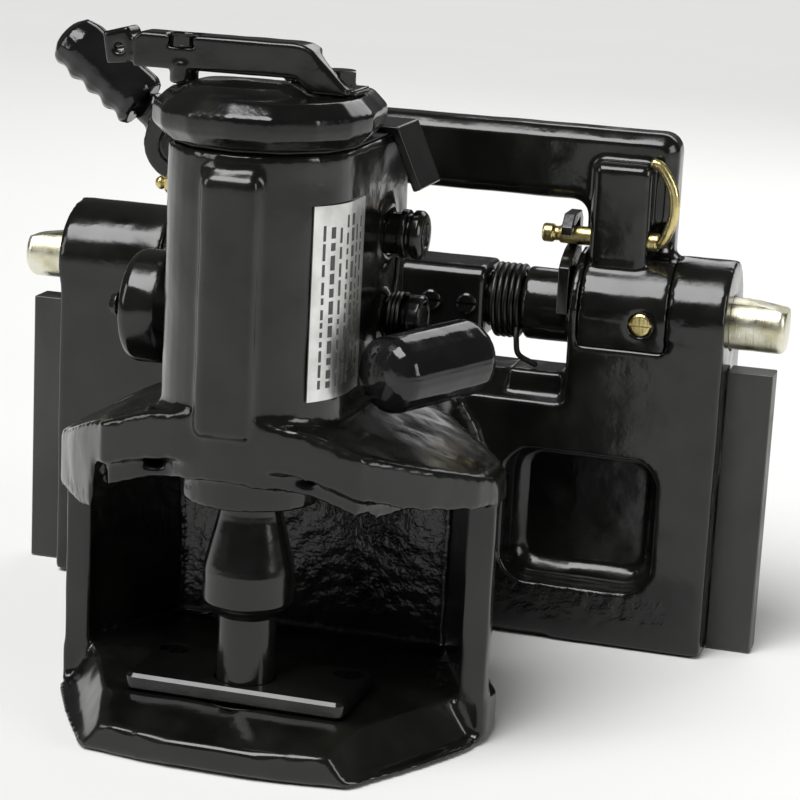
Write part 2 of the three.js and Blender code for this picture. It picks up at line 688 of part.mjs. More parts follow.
function wearScrews() {
  return WEAR_SCREWS.map(([x, y]) => (
    turned([[0, 21], [4, 21], [4, WEAR_HEAD_SEAT + GAP], [WEAR_HEAD_R, WEAR_HEAD_SEAT + GAP], [WEAR_HEAD_R, 27],
      [WEAR_HEAD_R - 0.6, 27.6], [0, 27.6]], 16).translate(x, y, 0)));
}

function sideCover() {
  const disc = turnedX([[0, -75], [22, -75], [25, -72], [25, -58], [21, -52.4], [0, -52.4]], RELEASE_Y, DISC_Z, 24);
  return disc;
}

function coverBolts() {
  const pieces = [];
  for (let i = 0; i < 3; i += 1) {
    const angle = (50 + 120 * i) * (Math.PI / 180);
    const y = RELEASE_Y + 17 * Math.cos(angle);
    const z = DISC_Z + 17 * Math.sin(angle);
    pieces.push(turnedX(discProfile(5, -79, -75.4), y, z, 6));
  }
  return pieces;
}

function handLever() {
  const hub = rodY(16, -150, -133.4, LEVER_X, LEVER_Z, 28);
  const arm = alongY(outline([
    [LEVER_X - 13, LEVER_Z - 8], [-74, 252], [-79, 256], [-71, 267], [-62, 261], [LEVER_X + 4, LEVER_Z + 15],
  ]), -149, -135, 3);
  const tang = wire([[-70, -142, 256.5], [-85, -142, 268], [-100, -142, 279.3]], 5, 4, 10);
  return carve([hub, arm, tang], [rodY(8 + GAP, -160, -120, LEVER_X, LEVER_Z, 20)]);
}

// Moulded grip: a swelling body with four finger grooves on its underside.
function leverGrip() {
  const start = new THREE.Vector3(-76.5, -142, 261.5);
  const end = new THREE.Vector3(-113, -142, 289);
  const length = start.distanceTo(end);
  const profile = [[5.4, 0], [11.5, 0], [13, 3], [12.4, 0.45 * length], [13, 0.8 * length], [11.5, 0.93 * length],
    [7, length], [0, length + 1.5], [0, 0.78 * length], [5.4, 0.78 * length], [5.4, 0]];
  const grip = turned(profile, 18).rotateX(-Math.PI / 2);
  const turn = new THREE.Quaternion().setFromUnitVectors(new THREE.Vector3(0, 1, 0), end.clone().sub(start).normalize());
  grip.applyQuaternion(turn).translate(start.x, start.y, start.z);
  return grip;
}

function leverShaft() {
  const profile = [[0, -153], [8, -153], [8, -104], [0, -104]];
  return turnedY(profile, LEVER_X, LEVER_Z, 20);
}

// Crank behind the tower that raises the pin's crosshead.
function liftingArm() {
  const arm = new THREE.Shape();
  const tipX = -4;
  const tipZ = 176;
  const angle = Math.atan2(tipZ - LEVER_Z, tipX - LEVER_X);
  arm.absarc(LEVER_X, LEVER_Z, 15, angle + Math.PI / 2, angle + 1.5 * Math.PI, false);
  arm.absarc(tipX, tipZ, 9, angle - Math.PI / 2, angle + Math.PI / 2, false);
  return carve([alongY(arm, -115, -107)], [
    rodY(8 + GAP, -120, -100, LEVER_X, LEVER_Z, 20), rodY(4, -120, -100, tipX, tipZ, 16)]);
}

function crosshead() {
  return carve([box(-11, 11, PIN_Y + 21, -130, 150, 160), rodY(5, -131, -117, 0, 155, 16)]);
}

function stopPin() {
  return turnedX([
    [0, 20], [9, 20], [9, 46], [10.5, 46], [10.5, 49], [8.6, 49.4], [8.6, 51], [10.5, 51.4], [10.5, 55], [9.5, 56.5],
    [0, 56.5],
  ], RELEASE_Y, 217, 18);
}

function releaseShaft() {
  return turnedX([[0, 20], [7, 20], [7, 57], [0, 57]], RELEASE_Y, RELEASE_Z, 20);
}

function releaseSpring() {
  const coil = helixX(43.5, 49, 10.2, 3, RELEASE_Y, RELEASE_Z, 12, Math.PI / 2);
  return wire([[43.2, RELEASE_Y + 4, 205], [43.2, RELEASE_Y + 3, 197], ...coil], 1.1, 44, 4);
}

const GRIP_FRONT = new THREE.Vector3(53, -205, 166);
const GRIP_REAR = new THREE.Vector3(80, -151, 168);

// Point on the release grip's axis, measured from its rear face.
function onGripAxis(distance) {
  const axis = GRIP_FRONT.clone().sub(GRIP_REAR).normalize();
  return GRIP_REAR.clone().addScaledVector(axis, distance).toArray();
}

function releaseArm() {
  const hub = rodX(10.5, 50.6, 57.5, RELEASE_Y, RELEASE_Z, 20);
  const tang = wire([[54, RELEASE_Y + 5, 174], [64, RELEASE_Y + 15, 169.5], [77, RELEASE_Y + 14, 168],
    onGripAxis(-6), onGripAxis(4), onGripAxis(16), onGripAxis(28)], 4.4, 12, 6);
  return carve([hub, tang], [rodX(7 + RUN, 30, 58, RELEASE_Y, RELEASE_Z, 20)]);
}

function releaseGrip() {
  const length = GRIP_REAR.distanceTo(GRIP_FRONT);
  const r = 16.5;
  const profile = [[5.1, 0], [12, 0], [15, 2], [r, 6]];
  for (let i = 0; i <= 5; i += 1) {
    const angle = (i / 5) * (Math.PI / 2);
    profile.push([Math.max(r * Math.cos(angle), 0), length - 9 + 9 * Math.sin(angle)]);
  }
  profile.push([0, length - 18], [5.1, length - 18], [5.1, 0]);
  const grip = turned(profile, 20).rotateX(-Math.PI / 2);
  const turn = new THREE.Quaternion().setFromUnitVectors(
    new THREE.Vector3(0, 1, 0), GRIP_FRONT.clone().sub(GRIP_REAR).normalize());
  return grip.applyQuaternion(turn).translate(GRIP_REAR.x, GRIP_REAR.y, GRIP_REAR.z);
}

// Thin plate bent round the tower's front right.
function namePlate() {
  const inner = TOWER_R + GAP;
  const outer = inner + 1;
  const from = -40 * (Math.PI / 180);
  const shape = new THREE.Shape();
  shape.moveTo(inner * Math.cos(from), PIN_Y + inner * Math.sin(from));
  shape.lineTo(outer * Math.cos(from), PIN_Y + outer * Math.sin(from));
  shape.absarc(0, PIN_Y, outer, from, 0, false);
  shape.lineTo(outer, PIN_Y + 13);
  shape.lineTo(inner, PIN_Y + 13);
  shape.lineTo(inner, PIN_Y);
  shape.absarc(0, PIN_Y, inner, 0, from, true);
  return raised(shape, 158, 238, 0, 6);
}

// Grease nipple pointing left from the tower's flank at x.
function greaseNipple(x, y, z) {
  return turnedX([[0, x - 11], [2, x - 11], [3.2, x - 9.5], [3.2, x - 8], [2.4, x - 6.5], [2.4, x - 4.5],
    [4.6, x - 4], [4.6, x], [0, x]], y, z, 14);
}

function neckNut() {
  const hex = turned(discProfile(40, BODY_BACK + 9.5, BODY_BACK + 25), 6).rotateX(-Math.PI / 2).translate(0, 0, NECK_Z);
  return carve([hex], [rodY(24 + GAP, BODY_BACK, BODY_BACK + 40, 0, NECK_Z, 28)]);
}

function buildHead() {
  addPart('head_casting', headCasting(), 'paint');
  addPart('tower_cap', towerCap(), 'paint');
  addPart('cap_gasket', capGasket(), 'plastic');
  addPart('cable_holder', cableHolder(), 'paint');
  addNumbered('cap_bolt', capBolts(), 'paint');
  addPart('upper_bush', upperBush(), 'steel');
  addPart('lower_bush', lowerBush(), 'steel');
  addPart('wear_plate', wearPlate(), 'paint');
  addNumbered('wear_plate_screw', wearScrews(), 'steel');
  addPart('spring_cover', sideCover(), 'paint');
  addNumbered('spring_cover_bolt', coverBolts(), 'paint');
  addPart('stop_pin', stopPin(), 'paint');
  addPart('rear_cover', rearCover(), 'paint');
  addPart('name_plate', namePlate(), 'plate');
  addPart('grease_nipple', greaseNipple(-TOWER_R - GAP, NIPPLE_Y, NIPPLE_Z), 'brass');
  addPart('neck_nut', neckNut(), 'steel');
  addPart('neck_washer', turnedY(ringProfile(NECK_R + RUN, 46, BODY_BACK + GAP, BODY_BACK + 9), 0, NECK_Z, 28), 'steel');
  addPart('thrust_washer', turnedY(ringProfile(NECK_R + RUN, 52, HUB_FRONT - 4.6, HUB_FRONT - GAP), 0, NECK_Z, 28), 'steel');
}

function buildPinDrive() {
  addPart('coupling_pin', couplingPin(), 'steel');
  addPart('pin_crosshead', crosshead(), 'steel');
  addPart('hand_lever', handLever(), 'paint');
  addPart('lever_grip', leverGrip(), 'plastic');
  addPart('lever_shaft', leverShaft(), 'steel');
  addPart('lifting_arm', liftingArm(), 'steel');
}

function buildRelease() {
  addPart('release_lever', releaseArm(), 'paint');
  addPart('release_grip', releaseGrip(), 'plastic');
  addPart('release_shaft', releaseShaft(), 'paint');
  addPart('release_spring', releaseSpring(), 'steel');
}

buildBracket();
buildLock();
buildHead();
buildPinDrive();
buildRelease();

// Centre the assembly's box over the origin along Y; it already stands on z = 0.
const extent = new THREE.Box3().setFromObject(design);
design.position.y = -(extent.min.y + extent.max.y) / 2;

export default coupler;
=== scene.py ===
"""Looks of a height-adjustable automatic trailer coupling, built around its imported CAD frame.

Metres, +Z up, mouth towards -Y. Castings are finer copies of their CAD nodes with rounded
edges and a cast skin; turned pieces, springs, screws and grips are made here in full detail.
"""
import json
import math
import random

import bmesh
import bpy
from mathutils import Matrix, Vector, noise


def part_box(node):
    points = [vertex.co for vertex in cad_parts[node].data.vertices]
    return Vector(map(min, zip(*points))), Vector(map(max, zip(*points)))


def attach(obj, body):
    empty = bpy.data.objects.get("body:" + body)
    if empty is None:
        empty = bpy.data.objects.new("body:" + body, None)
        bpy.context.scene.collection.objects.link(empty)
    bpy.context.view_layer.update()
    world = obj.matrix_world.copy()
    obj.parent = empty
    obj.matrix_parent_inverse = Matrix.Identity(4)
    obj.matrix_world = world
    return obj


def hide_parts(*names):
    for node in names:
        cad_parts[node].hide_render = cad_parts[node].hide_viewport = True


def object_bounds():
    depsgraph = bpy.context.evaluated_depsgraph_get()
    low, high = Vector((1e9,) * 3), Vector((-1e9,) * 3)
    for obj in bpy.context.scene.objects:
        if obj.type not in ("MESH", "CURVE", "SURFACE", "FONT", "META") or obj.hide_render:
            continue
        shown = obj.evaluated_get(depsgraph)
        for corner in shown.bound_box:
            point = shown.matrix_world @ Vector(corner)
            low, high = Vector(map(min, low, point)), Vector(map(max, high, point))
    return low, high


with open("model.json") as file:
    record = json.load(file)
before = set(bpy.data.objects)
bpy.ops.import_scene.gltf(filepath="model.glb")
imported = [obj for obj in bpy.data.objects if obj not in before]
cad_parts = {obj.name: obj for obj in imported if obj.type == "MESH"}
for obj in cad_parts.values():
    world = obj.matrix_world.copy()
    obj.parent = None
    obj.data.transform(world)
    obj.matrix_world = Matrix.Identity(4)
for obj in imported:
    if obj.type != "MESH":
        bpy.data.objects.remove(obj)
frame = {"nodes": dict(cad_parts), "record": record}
cad_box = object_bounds()
NODES = frame["nodes"]
BODY_OF = {node: body for body, nodes in frame["record"]["behaviour"]["bodies"].items() for node in nodes}
MM = 0.001

# ---- sizes that the frame's boxes don't give, in millimetres ------------------------
LOCK_PIN_R = 12.5
CROWN_FOOT = 62                     # height of the foot of the coupling pin's thick part
RING_SIZES = (                      # node, axis, bore radius and outer radius
    ("upper_bush", "Z", 19.9, 23.65), ("lower_bush", "Z", 12.9, 18.0), ("neck_bush", "Y", 30.4, 38.0),
    ("thrust_washer", "Y", 30.4, 52.0), ("neck_washer", "Y", 30.4, 46.0))
SAFETY_PIN_AT = (-11, 37)           # its axis from the lock shaft's, along Y and Z
SAFETY_PIN_LENGTH = 56
LEVER_GRIP_AXIS = (Vector((-76.5, -50.5, 261.5)), Vector((-113, -50.5, 289)))
RELEASE_GRIP_AXIS = (Vector((80, -59.5, 168)), Vector((53, -113.5, 166)))
GROOVES = 4                         # finger grooves of the lever's grip
GROOVE_DEPTH = 1.9
GROOVED = (0.05, 0.9)               # stretch of the grip that is grooved, as shares of its length
SEAM_HALF = 0.9                     # half width and height of a grip's mould line
SEAM_HEIGHT = 0.25
RAW_SKIN = ((0.55, 5.0), (0.25, 2.6))   # heights and grain sizes of the coarse sand skin
CHAMFER_SHARE = 0.98                # a hexagon's chamfer starts at this share of its flats
CHAMFER_SLOPE = 0.55
SHARP_BEVEL = 34                    # edges sharper than this are broken, in degrees

# ---- camera -------------------------------------------------------------------------
CAMERA_AT = Vector((0.3268, -1.0673, 0.3994))
CAMERA_YAW = 15.42      # degrees the camera stands to the coupling's right
CAMERA_PITCH = 13.7     # degrees it looks down
CAMERA_ROLL = 2.9       # degrees its picture leans clockwise
LENS_MM = 112.2


def add_camera():
    yaw, pitch, roll = (math.radians(a) for a in (CAMERA_YAW, CAMERA_PITCH, CAMERA_ROLL))
    ahead = Vector((-math.sin(yaw) * math.cos(pitch), math.cos(yaw) * math.cos(pitch), -math.sin(pitch)))
    level = Vector((math.cos(yaw), math.sin(yaw), 0))
    upward = level.cross(ahead)
    right = math.cos(roll) * level + math.sin(roll) * upward
    up = right.cross(ahead)
    camera = bpy.data.objects.new("camera", bpy.data.cameras.new("camera"))
    camera.data.lens = LENS_MM
    camera.data.sensor_width = 36.0
    camera.matrix_world = Matrix.Translation(CAMERA_AT) @ Matrix((right, up, -ahead)).transposed().to_4x4()
    bpy.context.scene.collection.objects.link(camera)
    bpy.context.scene.camera = camera


# ---- materials ----------------------------------------------------------------------
class Shader:
    """A Principled material with short calls for the nodes that its skin needs."""

    def __init__(self, name, **values):
        self.material = bpy.data.materials.new(name)
        self.material.use_nodes = True
        self.nodes = self.material.node_tree.nodes
        self.links = self.material.node_tree.links
        self.base = self.nodes["Principled BSDF"]
        self.place = self.nodes.new("ShaderNodeTexCoord").outputs["Object"]
        self.normal = None
        for socket, value in values.items():
            self.base.inputs[socket.replace("_", " ")].default_value = value

    def noise(self, scale, detail=2.0, stretch=(1, 1, 1)):
        mapping = self.nodes.new("ShaderNodeMapping")
        mapping.inputs["Scale"].default_value = stretch
        self.links.new(self.place, mapping.inputs["Vector"])
        texture = self.nodes.new("ShaderNodeTexNoise")
        texture.inputs["Scale"].default_value = scale
        texture.inputs["Detail"].default_value = detail
        self.links.new(mapping.outputs["Vector"], texture.inputs["Vector"])
        return texture.outputs["Fac"]

    def attribute(self, name):
        node = self.nodes.new("ShaderNodeAttribute")
        node.attribute_name = name
        return node.outputs["Fac"]

    def edges(self, low, high):
        """From 0 on flats to 1 on outer edges."""
        geometry = self.nodes.new("ShaderNodeNewGeometry")
        return self.ranged(geometry.outputs["Pointiness"], low, high, 0.0, 1.0)

    def ranged(self, value, low, high, out_low, out_high):
        node = self.nodes.new("ShaderNodeMapRange")
        node.inputs["From Min"].default_value = low
        node.inputs["From Max"].default_value = high
        node.inputs["To Min"].default_value = out_low
        node.inputs["To Max"].default_value = out_high
        self.links.new(value, node.inputs["Value"])
        return node.outputs["Result"]

    def mixed(self, factor, first, second):
        node = self.nodes.new("ShaderNodeMix")
        node.data_type = "RGBA"
        self.links.new(factor, node.inputs["Factor"])
        for socket, value in (("A", first), ("B", second)):
            target = [s for s in node.inputs if s.name == socket and s.type == "RGBA"][0]
            if isinstance(value, tuple):
                target.default_value = (*value, 1)
            else:
                self.links.new(value, target)
        return [s for s in node.outputs if s.type == "RGBA"][0]

    def color(self, value):
        self.links.new(value, self.base.inputs["Base Color"])

    def roughness(self, value):
        self.links.new(value, self.base.inputs["Roughness"])

    def bump(self, height, depth, strength=1.0):
        """Adds a layer of relief, depth in metres."""
        node = self.nodes.new("ShaderNodeBump")
        node.inputs["Distance"].default_value = depth
        if isinstance(strength, (int, float)):
            node.inputs["Strength"].default_value = strength
        else:
            self.links.new(strength, node.inputs["Strength"])
        self.links.new(height, node.inputs["Height"])
        if self.normal is not None:
            self.links.new(self.normal, node.inputs["Normal"])
        self.normal = node.outputs["Normal"]
        self.links.new(self.normal, self.base.inputs["Normal"])


BLACK = (0.0040, 0.0044, 0.0038)
DUSTY = (0.0095, 0.0095, 0.0078)
WORN = (0.05, 0.048, 0.043)


def cast_paint():
    """Thick gloss paint on a sand casting; the attribute "raw" marks the coarse stretches."""
    shader = Shader("cast_gloss_black", IOR=1.5, Specular_IOR_Level=0.5)
    raw = shader.attribute("raw")
    dirt = shader.ranged(shader.noise(38, 5), 0.42, 0.68, 0.0, 1.0)
    shader.color(shader.mixed(shader.edges(0.56, 0.66), shader.mixed(dirt, BLACK, DUSTY), WORN))
    shader.roughness(shader.ranged(shader.noise(55, 4), 0.35, 0.7, 0.11, 0.24))
    shader.bump(shader.noise(48, 1), 0.0009)
    shader.bump(shader.noise(230, 2), 0.00009)
    shader.bump(shader.noise(300, 4), 0.0007, raw)
    return shader.material


def smooth_paint():
    """The same paint on machined and rolled steel, with only orange peel and a few runs."""
    shader = Shader("smooth_gloss_black", IOR=1.5, Specular_IOR_Level=0.5)
    dirt = shader.ranged(shader.noise(30, 5), 0.45, 0.7, 0.0, 1.0)
    shader.color(shader.mixed(shader.edges(0.57, 0.67), shader.mixed(dirt, BLACK, DUSTY), WORN))
    shader.roughness(shader.ranged(shader.noise(70, 4), 0.35, 0.7, 0.12, 0.25))
    shader.bump(shader.noise(45, 1), 0.0005)
    shader.bump(shader.noise(300, 2), 0.00006)
    return shader.material


def plate_paint():
    """Thin satin paint on the guide plates, rubbed by the ladder frame."""
    shader = Shader("guide_plate_black", IOR=1.5, Specular_IOR_Level=0.5)
    rubbed = shader.ranged(shader.noise(20, 6, (1, 1, 0.35)), 0.45, 0.7, 0.0, 1.0)
    tone = shader.mixed(rubbed, (0.013, 0.0135, 0.012), (0.035, 0.035, 0.030))
    shader.color(shader.mixed(shader.edges(0.54, 0.64), tone, (0.10, 0.098, 0.085)))
    shader.roughness(shader.ranged(shader.noise(48, 4), 0.3, 0.7, 0.32, 0.5))
    shader.bump(shader.noise(420, 3), 0.00012)
    shader.bump(shader.noise(35, 3, (1, 1, 0.2)), 0.0005)
    return shader.material


def plated(name, pale, deep, roughness, turning):
    """Zinc or brass plating over a turned surface, with faint tool marks along the axis."""
    shader = Shader(name, Metallic=1.0)
    shader.color(shader.mixed(shader.ranged(shader.noise(70, 5), 0.4, 0.65, 0.0, 1.0), pale, deep))
    shader.roughness(shader.ranged(shader.noise(160, 4), 0.3, 0.7, roughness - 0.08, roughness + 0.12))
    shader.bump(shader.noise(90, 2, turning), 0.00016)
    shader.bump(shader.noise(600, 2), 0.00006)
    return shader.material


def dark_steel():
    """Oiled, blackened steel with a trace of bright wear."""
    shader = Shader("dark_steel", Metallic=1.0)
    shader.color(shader.mixed(shader.ranged(shader.noise(60, 5), 0.4, 0.7, 0.0, 1.0),
                              (0.030, 0.030, 0.029), (0.075, 0.073, 0.068)))
    shader.roughness(shader.ranged(shader.noise(140, 4), 0.3, 0.7, 0.26, 0.46))
    shader.bump(shader.noise(130, 3), 0.00025)
    shader.bump(shader.noise(700, 2), 0.00006)
    return shader.material


def plastic():
    """Glossy black thermoplastic with faint sink marks."""
    shader = Shader("gloss_plastic", IOR=1.48, Specular_IOR_Level=0.5)
    shader.color(shader.mixed(shader.ranged(shader.noise(45, 4), 0.45, 0.7, 0.0, 1.0),
                              (0.0055, 0.0055, 0.0058), (0.011, 0.011, 0.011)))
    shader.roughness(shader.ranged(shader.noise(85, 3), 0.35, 0.7, 0.07, 0.17))
    shader.bump(shader.noise(75, 1), 0.0004)
    shader.bump(shader.noise(650, 2), 0.00004)
    return shader.material


def aluminium():
    """Rolled sheet with fine grain along its length."""
    shader = Shader("nameplate_aluminium", Metallic=1.0)
    grain = shader.noise(500, 3, (1, 1, 0.05))
    shader.color(shader.mixed(shader.ranged(shader.noise(90, 4), 0.4, 0.7, 0.0, 1.0),
                              (0.74, 0.74, 0.72), (0.58, 0.58, 0.55)))
    shader.roughness(shader.ranged(grain, 0.3, 0.7, 0.28, 0.42))
    shader.bump(grain, 0.00004)
    shader.bump(shader.noise(110, 2), 0.0003)
    return shader.material


def printed():
    """Dark etched fields of the nameplate."""
    shader = Shader("nameplate_etching", Metallic=0.2)
    shader.color(shader.mixed(shader.noise(400, 3), (0.05, 0.05, 0.05), (0.12, 0.12, 0.115)))
    shader.roughness(shader.ranged(shader.noise(500, 3), 0.3, 0.7, 0.45, 0.65))
    shader.bump(shader.noise(900, 2), 0.00003)
    return shader.material


def rubber():
    shader = Shader("gasket_rubber", IOR=1.5)
    shader.color(shader.mixed(shader.noise(200, 4), (0.012, 0.012, 0.012), (0.028, 0.028, 0.027)))
    shader.roughness(shader.ranged(shader.noise(260, 3), 0.3, 0.7, 0.6, 0.8))
    shader.bump(shader.noise(900, 3), 0.00008)
    return shader.material


ZINC_PALE, ZINC_DEEP = (0.80, 0.78, 0.66), (0.56, 0.53, 0.36)
BRASS_PALE, BRASS_DEEP = (0.72, 0.62, 0.30), (0.44, 0.34, 0.12)
CAST = cast_paint()
SMOOTH = smooth_paint()
GUIDE = plate_paint()
ZINC = plated("zinc_plating", ZINC_PALE, ZINC_DEEP, 0.32, (14, 0.4, 0.4))
BRASS = plated("yellow_plating", BRASS_PALE, BRASS_DEEP, 0.28, (10, 1, 1))
STEEL = dark_steel()
PLASTIC = plastic()
ALUMINIUM = aluminium()
ETCHING = printed()
RUBBER = rubber()


# ---- pieces -------------------------------------------------------------------------
def settle(obj):
    """Works the object's modifiers into its mesh."""
    graph = bpy.context.evaluated_depsgraph_get()
    mesh = bpy.data.meshes.new_from_object(obj.evaluated_get(graph))
    obj.modifiers.clear()
    old, obj.data = obj.data, mesh
    bpy.data.meshes.remove(old)
    return obj


def linked(name, mesh):
    obj = bpy.data.objects.new(name, mesh)
    bpy.context.scene.collection.objects.link(obj)
    return obj


def finished(obj, sharp_degrees):
    """Smooth shading that keeps the sharp edges, worked into the mesh."""
    obj.data.shade_smooth()
    obj.data.set_sharp_from_angle(angle=math.radians(sharp_degrees))
    weigh = obj.modifiers.new("weigh", "WEIGHTED_NORMAL")
    weigh.keep_sharp = True
    return settle(obj)


def made_mesh(name, work):
    mesh = bpy.data.meshes.new(name)
    work.to_mesh(mesh)
    work.free()
    return mesh


def skin(work, rings):
    """Faces between neighbouring rings of vertices; a ring of one vertex is a pole."""
    for low, high in zip(rings, rings[1:]):
        count = max(len(low), len(high))
        for i in range(count):
            j = (i + 1) % count
            corners = [low[i % len(low)], low[j % len(low)], high[j % len(high)], high[i % len(high)]]
            corners = [v for k, v in enumerate(corners) if v not in corners[:k]]
            if len(corners) > 2:
                work.faces.new(corners)


def stand_for(obj, material, *nodes):
    """obj takes the place of these CAD nodes, on their body and with their finish."""
    obj.data.materials.clear()
    obj.data.materials.append(material)
    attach(obj, BODY_OF[nodes[0]])
    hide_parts(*nodes)
    return obj


def copied(node, name, whole_faces=False):
    """A welded copy of a CAD node's mesh, with its flat faces whole again if asked."""
    mesh = NODES[node].data.copy()
    work = bmesh.new()
    work.from_mesh(mesh)
    bmesh.ops.remove_doubles(work, verts=work.verts, dist=0.002 * MM)
    if whole_faces:
        bmesh.ops.dissolve_limit(work, angle_limit=math.radians(0.5), verts=work.verts, edges=work.edges)
    work.to_mesh(mesh)
    work.free()
    return linked(name, mesh)


def no_rawness(point):
    return 0.0


def as_vectors(collection, field):
    """One field of every element as a list of vectors, read before anything is changed."""
    flat = [0.0] * (3 * len(collection))
    collection.foreach_get(field, flat)
    return [Vector(flat[i:i + 3]) for i in range(0, len(flat), 3)]


def cast_lift(point, wave, wave_size, rawness):
    """How far the cast skin stands off the smooth shape here, in millimetres."""
    lift = wave * noise.noise(point / (wave_size * MM))
    if rawness:
        for height, grain in RAW_SKIN:
            lift += rawness * height * noise.noise(point / (grain * MM))
    return lift


def cast(node, name, material, grid, rounding, wave, wave_size, raw=no_rawness, reshape=None):
    """A rounded, slightly wavy copy of a CAD node. Sizes in millimetres; rounding counts smoothing passes."""
    obj = copied(node, name)
    remesh = obj.modifiers.new("remesh", "REMESH")
    remesh.mode = "VOXEL"
    remesh.voxel_size = grid * MM
    smooth = obj.modifiers.new("smooth", "SMOOTH")
    smooth.factor = 0.5
    smooth.iterations = rounding
    settle(obj)
    low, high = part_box(node)
    points = as_vectors(obj.data.vertices, "co")
    normals = as_vectors(obj.data.vertex_normals, "vector")
    rawness = [raw(point) for point in points]
    made = []
    for point, normal, amount in zip(points, normals, rawness):
        if reshape:
            point = reshape(point)
        point = point + normal * (cast_lift(point, wave, wave_size, amount) * MM)
        made.extend(min(max(c, a), b) for c, a, b in zip(point, low, high))
    obj.data.vertices.foreach_set("co", made)
    obj.data.update()
    obj.data.attributes.new("raw", "FLOAT", "POINT").data.foreach_set("value", rawness)
    obj.data.shade_smooth()
    return stand_for(obj, material, node)


def softened(obj, bevel, steps=2):
    """Breaks the object's sharp edges."""
    edge = obj.modifiers.new("edge", "BEVEL")
    edge.width = bevel * MM
    edge.segments = steps
    edge.limit_method = "ANGLE"
    edge.angle_limit = math.radians(SHARP_BEVEL)
    settle(obj)
    return finished(obj, 40)


def machined(node, name, material, bevel, steps):
    """A CAD node with its sharp edges broken."""
    return stand_for(softened(copied(node, name, whole_faces=True), bevel, steps), material, node)


AXES = {
    "X": Matrix(((0, 0, 1), (1, 0, 0), (0, 1, 0))).to_4x4(),
    "Y": Matrix(((0, 1, 0), (0, 0, 1), (1, 0, 0))).to_4x4(),
    "Z": Matrix.Identity(4),
}


def filleted(profile, radius, steps=4):
    """The profile with its inner corners rounded by a short curve; its two ends stay."""
    made = [Vector(profile[0])]
    for before, corner, after in zip(profile, profile[1:], profile[2:]):
        before, corner, after = Vector(before), Vector(corner), Vector(after)
        reach = min(radius, 0.45 * (before - corner).length, 0.45 * (after - corner).length)
        start = corner + (before - corner).normalized() * reach
        end = corner + (after - corner).normalized() * reach
        for i in range(steps + 1):
            t = i / steps
            made.append((1 - t) ** 2 * start + 2 * t * (1 - t) * corner + t * t * end)
    made.append(Vector(profile[-1]))
    return made


def lathe(profile, axis, centre, fillet=0.8, segments=96):
    """A turned mesh about a line parallel to an axis.

    profile holds (radius, station) in millimetres, with stations measured along the axis.
    """
    points = filleted(profile, fillet)
    work = bmesh.new()
    rings = []
    for radius, station in points:
        if radius < 1e-6:
            rings.append([work.verts.new((0, 0, station))])
        else:
            rings.append([
                work.verts.new((radius * math.cos(a), radius * math.sin(a), station))
                for a in (2 * math.pi * i / segments for i in range(segments))])
    skin(work, rings)
    bmesh.ops.remove_doubles(work, verts=work.verts, dist=1e-4)
    bmesh.ops.recalc_face_normals(work, faces=work.faces)
    work.transform(Matrix.Translation(centre) @ AXES[axis] @ Matrix.Scale(MM, 4))
    return made_mesh("turned", work)


def middle(node, axis):
    """The line through the node's box along an axis, as a point with no station of its own."""
    low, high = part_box(node)
    centre = (low + high) / 2
    centre["XYZ".index(axis)] = 0
    return centre


def span(node, axis):
    """Lowest and highest station of a node along an axis, in millimetres."""
    low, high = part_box(node)
    i = "XYZ".index(axis)
    return low[i] / MM, high[i] / MM


def turned(node, name, material, axis, profile, fillet=0.8):
    obj = linked(name, lathe(profile, axis, middle(node, axis), fillet))
    finished(obj, 50)
    return stand_for(obj, material, node)


def joined(name, *meshes):
    work = bmesh.new()
    for mesh in meshes:
        work.from_mesh(mesh)
        bpy.data.meshes.remove(mesh)
    return linked(name, made_mesh(name, work))


def block(low, high):
    """A box mesh between two corners, in millimetres."""
    work = bmesh.new()
    bmesh.ops.create_cube(work, size=1.0)
    size = (Vector(high) - Vector(low)) * MM
    centre = (Vector(high) + Vector(low)) / 2 * MM
    work.transform(Matrix.Translation(centre) @ Matrix.Diagonal((*size, 1)))
    return made_mesh("block", work)


def cut(obj, *meshes):
    """Takes these meshes out of the object."""
    for mesh in meshes:
        tool = linked("tool", mesh)
        away = obj.modifiers.new("away", "BOOLEAN")
        away.operation = "DIFFERENCE"
        away.solver = "EXACT"
        away.object = tool
        settle(obj)
        bpy.data.objects.remove(tool)
    return obj


def curved(points, per_step=8):
    """A Catmull-Rom line through the points."""
    ends = [2 * points[0] - points[1], *points, 2 * points[-1] - points[-2]]
    line = []
    for a, b, c, d in zip(ends, ends[1:], ends[2:], ends[3:]):
        for i in range(per_step):
            t = i / per_step
            line.append(0.5 * (2 * b + (c - a) * t + (2 * a - 5 * b + 4 * c - d) * t ** 2
                               + (3 * b - 3 * c + d - a) * t ** 3))
    return [*line, points[-1]]


def swept(points, radius, sides=16):
    """A round wire along the points, all in metres, with domed ends."""
    work = bmesh.new()
    side = None
    rings = []
    count = len(points)
    domes = [(0.0, -1.0), (0.6, -0.8), (0.9, -0.45)]
    stations = [(0, r, back) for r, back in domes]
    stations += [(i, 1.0, 0.0) for i in range(count)]
    stations += [(count - 1, r, -back) for r, back in reversed(domes)]
    for i, share, shift in stations:
        along = (points[min(i + 1, count - 1)] - points[max(i - 1, 0)]).normalized()
        if side is None:
            side = along.orthogonal().normalized()
        else:
            side = (side - along * side.dot(along)).normalized()
        other = along.cross(side)
        middle_point = points[i] + along * (shift * radius)
        if share == 0:
            rings.append([work.verts.new(middle_point)])
            continue
        rings.append([
            work.verts.new(middle_point + radius * share * (math.cos(a) * side + math.sin(a) * other))
            for a in (2 * math.pi * k / sides for k in range(sides))])
    skin(work, rings)
    bmesh.ops.recalc_face_normals(work, faces=work.faces)
    return made_mesh("wire", work)


